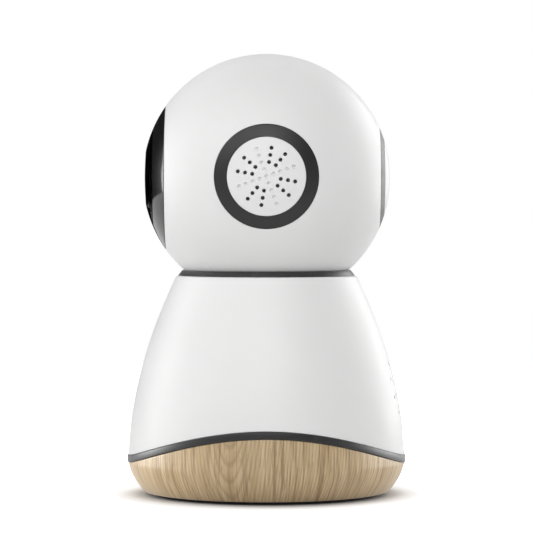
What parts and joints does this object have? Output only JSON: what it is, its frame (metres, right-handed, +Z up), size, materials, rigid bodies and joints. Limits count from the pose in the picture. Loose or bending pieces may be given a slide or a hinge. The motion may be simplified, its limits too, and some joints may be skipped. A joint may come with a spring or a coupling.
{
  "type": "baby monitor camera",
  "caption": "Pan and tilt nursery camera: a white ball head with a black lens face turns on a bell-shaped body with a wooden base and a wavy dark trim.",
  "frame": {"origin": "on the table, under the middle of the base", "axes": "+Z up; the lens looks along -Y, so +X is the camera's own left"},
  "size_m": [0.0838, 0.0844, 0.1335],
  "materials": {
    "white_plastic": "satin",
    "charcoal_plastic": "satin",
    "oak_wood": "light oak, satin lacquer",
    "black_plastic": "matte",
    "foot_rubber": "matte",
    "insert_brass": "turned",
    "steel": "brushed",
    "motor_can": "satin",
    "circuit_board": "solder mask",
    "gear_plastic": "satin",
    "gloss_black": "polished",
    "smoked_window": "polished, smoked",
    "lens_cover_black": "polished",
    "lens_glass": "coated",
    "lens_metal": "black anodised",
    "lamp_epoxy": "tinted",
    "status_lens": "frosted",
    "button_grey": "matte"
  },
  "bodies": {
    "base": {"body_shell": "white_plastic", "wave_trim": "charcoal_plastic", "wood_base": "oak_wood", "neck_ring": "charcoal_plastic", "base_plate": "black_plastic", "base_frame": "black_plastic", "foot_ring": "foot_rubber", "tripod_insert": "insert_brass", "ballast_weight": "steel", "main_board": "circuit_board", "socket_board": "circuit_board", "power_socket": "steel", "status_light": "status_lens", "wifi_antenna": "black_plastic", "speaker_basket": "steel", "speaker_cone": "black_plastic", "bearing_plate": "black_plastic", "pan_bushing": "gear_plastic", "pan_motor": "motor_can", "base_screw_1": "steel", "base_screw_2": "steel", "base_screw_3": "steel"},
    "reset": {"reset_button": "button_grey"},
    "pan_pinion": {"pan_pinion": "gear_plastic"},
    "pan": {"turntable": "white_plastic", "pan_retainer": "steel", "pan_gear": "gear_plastic", "yoke_nut": "steel", "yoke": "black_plastic", "tilt_pin_left": "steel", "tilt_pin_right": "steel", "tilt_motor": "motor_can", "dust_shield": "white_plastic"},
    "tilt_pinion": {"tilt_pinion": "gear_plastic"},
    "head": {"head_shell_left": "white_plastic", "head_shell_right": "white_plastic", "side_ring_left": "charcoal_plastic", "side_ring_right": "charcoal_plastic", "side_disc_left": "white_plastic", "side_disc_right": "white_plastic", "microphone": "steel", "rear_ring": "charcoal_plastic", "rear_cap": "white_plastic", "face_bezel": "gloss_black", "face_window": "smoked_window", "lens_cover": "lens_cover_black", "lens_barrel": "lens_metal", "front_lens": "lens_glass", "lens_holder": "black_plastic", "sensor_board": "circuit_board", "lamp_board": "black_plastic", "tilt_gear": "gear_plastic", "infrared_lamp_1": "lamp_epoxy", "infrared_lamp_2": "lamp_epoxy", "infrared_lamp_3": "lamp_epoxy", "infrared_lamp_4": "lamp_epoxy", "infrared_lamp_5": "lamp_epoxy", "infrared_lamp_6": "lamp_epoxy"}
  },
  "joints": [
    {"name": "pan", "type": "hinge", "parent": "base", "child": "pan", "pos_m": [0, 0, 0.05], "axis": [0, 0, 1], "range_deg": [-170, 170]},
    {"name": "tilt", "type": "hinge", "parent": "pan", "child": "head", "pos_m": [0, 0, 0.09605], "axis": [-1, 0, 0], "range_deg": [-10, 35]},
    {"name": "pan_pinion_spin", "type": "hinge", "parent": "base", "child": "pan_pinion", "pos_m": [-0.01819, -0.0105, 0.05], "axis": [0, 0, 1], "range_deg": [-680, 680]},
    {"name": "tilt_pinion_spin", "type": "hinge", "parent": "pan", "child": "tilt_pinion", "pos_m": [-0.0303, 0, 0.08405], "axis": [-1, 0, 0], "range_deg": [-105, 30]},
    {"name": "reset_press", "type": "slide", "parent": "base", "child": "reset", "axis": [0, 0, 1], "range_m": [0, 0.0005], "stiffness_N_per_m": 200, "springref_m": -0.0005}
  ],
  "couplings": [
    {"joint": "pan_pinion_spin", "follows": "pan", "ratio": -4},
    {"joint": "tilt_pinion_spin", "follows": "tilt", "ratio": -3}
  ]
}
